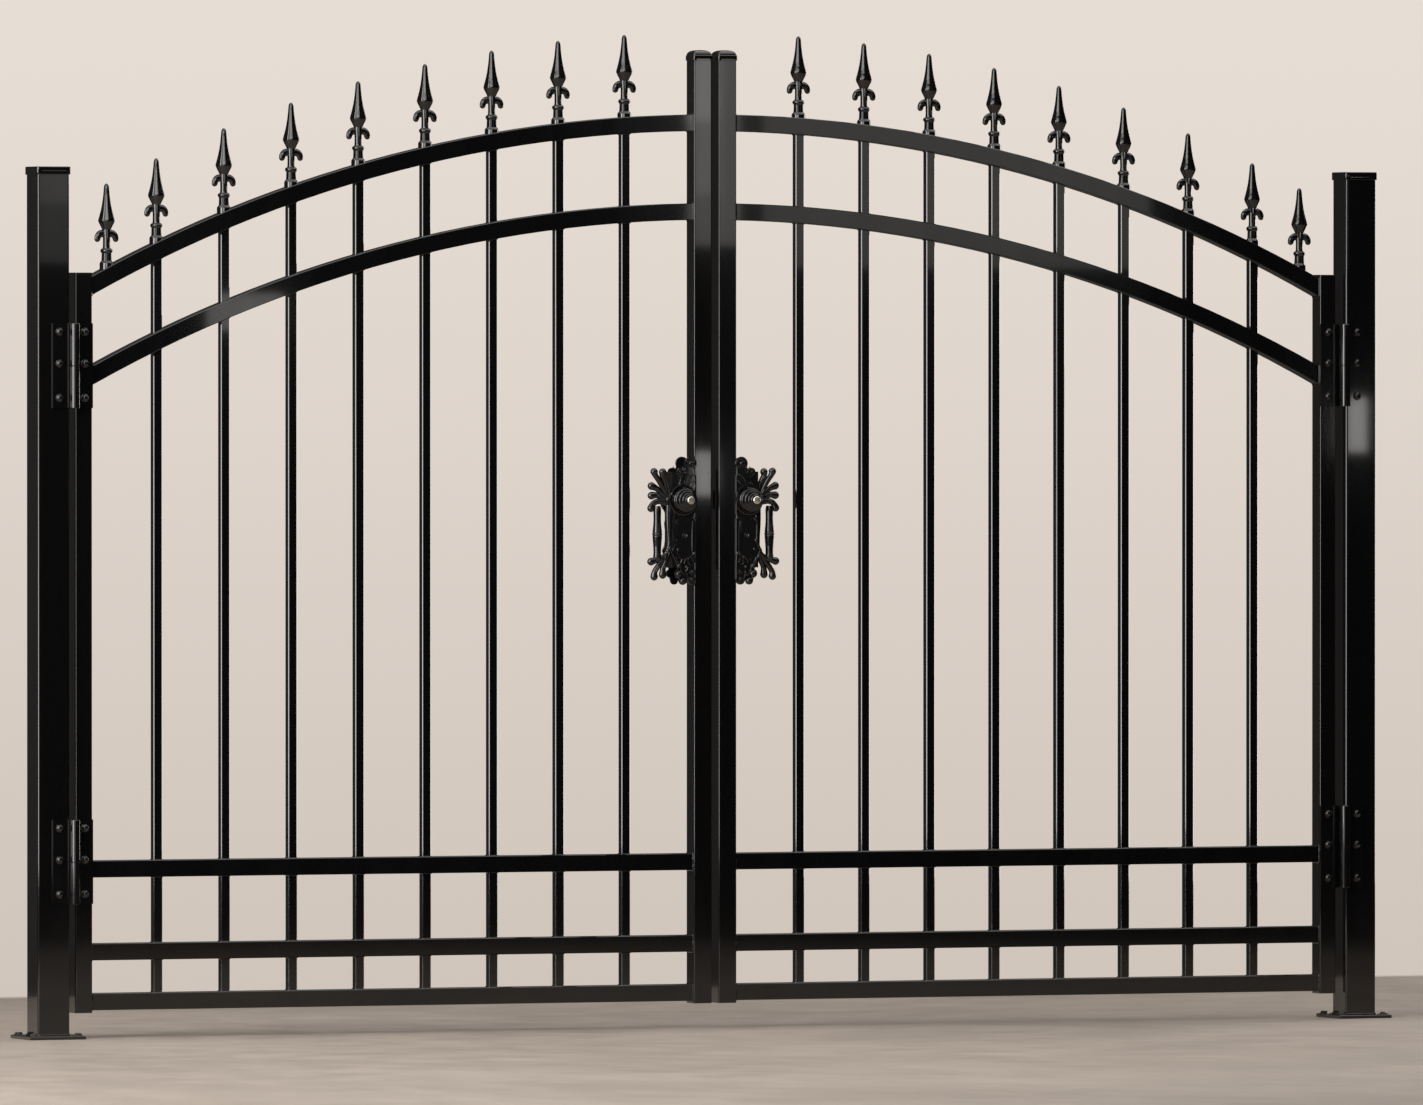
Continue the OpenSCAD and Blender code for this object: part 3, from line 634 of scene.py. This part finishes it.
plate_outline = (
    [(4, -186), (4, -160), (3.2, -134), (4, -128), (4, -100), (4, -60), (4, -46), (2.6, -38), (4, -30),
     (4, 20), (4, 56), (1, 66), (2, 74)]
    + arc(-11, 88, 16, -42, 205) + [(-27, 74), (-30, 77), (-34, 78)]
    + arc(-38, 68, 9, 90, 250) + [(-38, 54), (-38, 46), (-41, 38)]
    + arc(-30, 0, 36, 116, 214)
    + [(-55, -29), (-51, -36), (-53, -44), (-56, -56), (-54, -74), (-54, -96), (-56, -110), (-62, -122),
       (-57, -134), (-50, -148), (-46, -162)]
    + arc(-41, -176, 10.5, 110, 262) + arc(-31, -193, 10, 180, 325)
    + [(-21, -192)] + arc(-8, -191, 12, 195, 352))
spiral_turns, spiral_steps = 1.6, 30
spiral = [(math.radians(360 * spiral_turns * k / spiral_steps), 13.0 - 9.5 * k / spiral_steps,
           2.7 - 1.0 * k / spiral_steps) for k in range(spiral_steps + 1)]


def coil(mesh, x, z, size, turn, hand, depth):
    """A small scroll that winds in to a round eye."""
    points = [(x + hand * size * r * math.cos(a + turn), z + size * r * math.sin(a + turn),
               size * w, size * w) for a, r, w in spiral]
    scroll(mesh, points, depth, 8)
    turned(mesh, (x, depth - 1, z), (0, 1, 0), dome(5.4 * size, 4.6 * size), 16)


def dome(radius, height):
    """The profile of a rounded stud."""
    return [(radius, -1), (radius, height * 0.2), (radius * 0.94, height * 0.48),
            (radius * 0.76, height * 0.75), (radius * 0.45, height * 0.94), (radius * 0.06, height)]


def filled(mesh, outline, low, high, bevel):
    """A flat plate with this outline and a rounded upper edge, from depth low to high."""
    curve = bpy.data.curves.new("outline", "CURVE")
    curve.dimensions, curve.fill_mode = "2D", "BOTH"
    curve.extrude, curve.bevel_depth, curve.bevel_resolution = (high - low) / 2 - bevel, bevel, 2
    curve.offset = -bevel
    line = curve.splines.new("POLY")
    line.points.add(len(outline) - 1)
    for point, (x, z) in zip(line.points, outline):
        point.co = (x, z, 0, 1)
    line.use_cyclic_u = True
    shape = bpy.data.objects.new("outline", curve)
    scene.collection.objects.link(shape)
    flat = bpy.data.meshes.new_from_object(shape.evaluated_get(bpy.context.evaluated_depsgraph_get()))
    first = len(mesh.verts)
    mesh.from_mesh(flat)
    mesh.verts.ensure_lookup_table()
    for vert in mesh.verts[first:]:
        x, z, depth = vert.co
        vert.co = (x, depth + (low + high) / 2, z)
    bpy.data.objects.remove(shape)
    bpy.data.curves.remove(curve)
    bpy.data.meshes.remove(flat)


def inset(outline, by):
    """A closed outline moved inwards."""
    moved = []
    for k, (x, z) in enumerate(outline):
        (ax, az), (bx, bz) = outline[k - 1], outline[(k + 1) % len(outline)]
        length = math.hypot(bx - ax, bz - az)
        moved.append((x - by * (bz - az) / length, z + by * (bx - ax) / length))
    return moved


def rim(mesh, outline, depth, radius, sides=8):
    """A raised round rim along a closed outline."""
    rings, turns = [], [math.tau * s / sides for s in range(sides)]
    for k, (x, z) in enumerate(outline):
        (ax, az), (bx, bz) = outline[k - 1], outline[(k + 1) % len(outline)]
        across = Vector((az - bz, 0, bx - ax)).normalized()
        rings.append([Vector((x, depth + radius * math.sin(a), z)) + across * (radius * math.cos(a))
                      for a in turns])
    skin(mesh, rings, closed=True)


def rib(mesh, points, depth, wide, steps=5):
    """A raised rib through points, thinner at its ends."""
    ends = (0, len(points) - 1)
    rows = [(x, z, wide * (0.45 if k in ends else 1.0), wide * (0.6 if k in ends else 1.0))
            for k, (x, z) in enumerate(points)]
    scroll(mesh, smooth_line(rows, steps), depth, 8)


rim_inset, rim_r, rose_ring_r = 2.1, 2.2, 34.2
rose = [(31.4, 0), (31.4, 2.2), (30.8, 3.6), (29.3, 3.8), (28.4, 2.2), (26.6, 2.2), (25.8, 4.8), (24.3, 6.2),
        (22.4, 6.2), (21.2, 4.6), (18.6, 4.6), (17.8, 6.0), (15.5, 6.2), (13.5, 4.4), (9.4, 4.4)]
rose_casting = [(9.4, -2)] + rose[::-1] + [(31.4, -1)]
panel = [(-9, -48), (-9, -134), (-15, -141), (-28, -143), (-38, -139), (-45, -128), (-48, -104), (-48, -62),
         (-44, -50), (-36, -46), (-22, -45)]
keyhole_boss = [(7.0, -1), (7.0, 1.4), (6.2, 2.6), (4.8, 2.9), (4.2, 2.0), (3.4, 1.4), (2.6, 1.5), (1.6, 2.6),
                (0.2, 2.8)]
coils = [  # x, z, size, turn, hand
    (-11, 88, 0.92, 200, 1), (-8, -190, 0.66, 160, 1), (-6, -172, 0.55, 60, 1), (-38, 68, 0.52, 20, -1)]
studs = [  # x, z, radius, height
    (-41, -177, 7.4, 5.2), (-31, -194, 7.2, 5.2), (-41, -158, 5.2, 4.8), (-53, 9, 4.0, 4.0),
    (-48.5, -96, 3.4, 3.4), (-43.5, -118, 3.4, 3.4), (-0.5, -42, 4.0, 3.8), (-1, -128, 4.6, 4.4),
    (-22, -160, 3.8, 3.8), (-26, 66, 3.0, 3.4)]
leaf_ribs = [
    ((-33, 38), (-33, 52), (-30, 64), (-32, 80)),
    ((-28, 40), (-27, 54), (-24, 66), (-18, 74)),
    ((-22, 39), (-18, 50), (-10, 58), (0, 62)),
    ((-12, 34), (-6, 42), (0, 46)),
    ((-42, -44), (-50, -52), (-51.6, -68), (-51, -88), (-52, -106), (-59, -122)),
    ((-6, -50), (-6, -80), (-6, -110), (-6, -134)),
    ((-12, -134), (-17, -142), (-15, -152), (-8, -156)),
    ((-12, -134), (-6, -142), (-3, -150)),
    ((-12, -134), (-24, -142), (-28, -152)),
    ((-34, -142), (-38, -156), (-34, -172), (-24, -180)),
    ((-48, -138), (-43, -150), (-34, -158)),
    ((-18, -160), (-22, -172), (-18, -184))]
for side in ("left", "right"):
    for face, outward in (("front", -1), ("back", 1)):
        cast = bmesh.new()
        filled(cast, plate_outline, 0, plate_t, 0.7)
        rim(cast, inset(plate_outline, rim_inset), plate_t + 0.3, rim_r)
        filled(cast, panel[::-1], 2, plate_t + 0.9, 0.5)
        turned(cast, (-knob_inset, plate_t, 0), (0, 1, 0), rose_casting, 72)
        rib(cast, arc(-knob_inset, 0, rose_ring_r, 10, 350, 20), plate_t + 1.6, 2.4, 3)
        for x, z, size, turn, hand in coils:
            coil(cast, x, z, size, turn, hand, plate_t + 0.6)
        for x, z, r, height in studs:
            turned(cast, (x, plate_t - 0.2, z), (0, 1, 0), dome(r, height), 20)
        turned(cast, (-25, plate_t, -84), (0, 1, 0), keyhole_boss, 28)
        for points in leaf_ribs:
            rib(cast, points, plate_t + 1.2, 2.3)
        for vert in cast.verts:
            vert.co = (stile_inner_high + vert.co.x, outward * (stile_face + vert.co.y), knob_z + vert.co.z)
        cast = solid(f"{side}_{face}_scrolled_plate", cast, lock_paint, 40, mm, side == "right")
        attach(cast, side + "_leaf")
        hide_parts(f"{side}_{face}_lock_plate")

# ---- Latch and strike strips ----
# Flat steel strips screwed to the meeting faces: one carries the drawn-back latch bolt,
# the other has the pocket that takes it. Three screws with low round heads hold each.
repaint(lock_paint, "left_latch_strip", "right_strike_strip")
strip_t, screw_end, screw_drop = 3, 16, 18
strip_screw = [(4.2, -0.4), (4.2, 0.3), (3.4, 0.9), (1.8, 1.2), (0.2, 1.3)]
for side, node, heading in (("left", "left_latch_strip", 1), ("right", "right_strike_strip", -1)):
    low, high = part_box(node)
    face = (low.x + strip_t * mm if side == "left" else low.x) / mm
    screws = bmesh.new()
    for z in (low.z / mm + screw_end, (low.z + high.z) / 2 / mm - screw_drop, high.z / mm - screw_end):
        turned(screws, (face, 0, z), (heading, 0, 0), strip_screw, 18)
    screws = solid(side + "_strip_screws", screws, bolt_paint, 50, mm)
    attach(screws, side + "_leaf")

# ---- Knobs ----
# Turned iron knobs with stepped rings, one on each face of the leaf, pinned to the ends of one
# round spindle. A small brass button closes the end of each.
rose_out, knob_end = 9, 44
rose_face = stile_face + rose_out
knob_profile = (
    smooth_line([(9, 0), (9, 4.5), (12, 7.5), (21, 9.4), (26.4, 12.0), (28.2, 15.0), (27.0, 18.4),
                 (23.6, 19.4)], 3)
    + smooth_line([(21.4, 20.4), (22.8, 22.8), (23.4, 25.0), (22.2, 27.6), (18.4, 28.6)], 3)
    + smooth_line([(16.0, 29.6), (17.6, 31.8), (18.0, 33.8), (16.8, 36.2), (14.6, 36.8)], 3)
    + smooth_line([(12.6, 37.6), (13.8, 39.8), (13.8, 41.8), (12.6, 43.4), (11.0, 44.0)], 2))
button_profile = [(9.4, 0), (9.5, 3.4), (9.1, 4.6), (7.9, 5.4), (7.3, 5.2), (6.6, 5.3), (5.2, 5.8),
                  (2.8, 6.1), (0.2, 6.2)]
brass_clean, brass_dull = (0.94, 0.89, 0.79, 1), (0.62, 0.55, 0.43, 1)
brass, place, shader = new_material("knob_button")
tarnish = place.noise(140.0, 5.0, 0.65)
scratch = place.stretch((1.0, 1.0, 14.0)).noise(500.0, 2.0)
tarnish.rise(0.45, 0.72).blend(brass_clean, brass_dull).into(shader, "Base Color")
(0.22 + tarnish * 0.22).into(shader, "Roughness")
scratch.raised(shader, 0.08, 0.0004)
shader.inputs["Metallic"].default_value = 1.0
for side in ("left", "right"):
    turning, buttons = bmesh.new(), bmesh.new()
    middle_of_knob = (stile_inner_high - knob_inset, 0, knob_z)
    half = [(r, rose_face + h) for r, h in knob_profile]
    turned(turning, middle_of_knob, (0, 1, 0), [(r, -h) for r, h in half[::-1]] + half, 64)
    for outward in (-1, 1):
        button = [(r, rose_face + knob_end + h) for r, h in button_profile]
        turned(buttons, middle_of_knob, (0, outward, 0), button, 40)
    turning = solid(side + "_stepped_knob", turning, lock_paint, 40, mm, side == "right")
    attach(turning, side + "_handle_knob")
    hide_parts(side + "_knob")
    buttons = solid(side + "_brass_buttons", buttons, brass, 40, mm, side == "right")
    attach(buttons, side + "_handle_knob")
    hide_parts(side + "_knob_buttons")

# ---- Pull handles ----
# Iron castings beside the lock plates: a fan of curled leaves above and another below, joined by
# a slim bow on the lock case and by a turned grip with a bead in its middle.
handle_low, handle_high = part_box("left_pull_handle")
handle_y = (handle_low.y + handle_high.y) / 2 / mm
grip_x = -90
leaves = (
    ((-60, 2), (-64, 24), (-69, 44), (-76, 58), (-76, 67)),
    ((-63, 4), (-74, 26), (-85, 46), (-95, 60), (-98, 68)),
    ((-64, 2), (-78, 16), (-92, 28), (-105, 34)),
    ((-64, -2), (-78, 6), (-92, 12), (-105, 11)),
    ((-62, -8), (-76, -4), (-90, -3), (-101, -9), (-106, -19)),
    ((-60, -112), (-66, -128), (-80, -140), (-94, -144), (-106, -147)),
    ((-62, -118), (-74, -142), (-88, -158), (-97, -172), (-98, -183)),
    ((-60, -122), (-68, -146), (-75, -162), (-76, -179)))
grip = (
    smooth_line([(7.6, -14), (9.4, -24), (9.0, -40), (9.4, -56), (10.8, -70), (11.6, -77)], 4)
    + [(10.6, -78.4), (11.8, -79.6), (12.2, -81.5), (11.8, -83.4), (10.6, -84.6)]
    + smooth_line([(11.5, -86), (10.8, -96), (9.6, -112), (9.2, -126), (10.0, -136), (7.8, -144)], 4))
bow = smooth_line([(-60, 2, 6.6, 5), (-61.5, -28, 6.2, 5), (-62, -60, 5.0, 5), (-60.5, -92, 4.6, 5),
                   (-60, -122, 5.0, 5)], 6)
bow_rib = ((-61, -12), (-62, -40), (-63, -60), (-62, -84), (-61, -108))
for side in ("left", "right"):
    pull = bmesh.new()
    for points in leaves:
        last = len(points) - 1
        rows = [(x, z, 9.6 if k == last else 6.4 + 0.3 * k, 8.0 if k == last else 5.2 + 0.3 * k)
                for k, (x, z) in enumerate(points)]
        scroll(pull, smooth_line(rows, 6), 0.0, 12)
        for out in (-1, 1):
            rib(pull, points[:-1], out * 5.4, 1.9)
    for x, z, r in ((-63, 1, 8.0), (-62, -121, 7.6)):
        boss = [(r, -1), (r, 3.5), (r * 0.8, 6.0), (r * 0.45, 7.6), (0.3, 8.2)]
        for out in (-1, 1):
            turned(pull, (x, 0, z), (0, out, 0), boss, 20)
    scroll(pull, bow, 0.0, 12)
    rib(pull, bow_rib, -4.8, 1.5)
    turned(pull, (grip_x, 0, 0), (0, 0, 1), grip, 28)
    for vert in pull.verts:
        vert.co = (stile_inner_high + vert.co.x, handle_y + vert.co.y, knob_z + vert.co.z)
    pull = solid(side + "_leaf_pull", pull, lock_paint, 40, mm, side == "right")
    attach(pull, side + "_leaf")
    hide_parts(side + "_pull_handle")
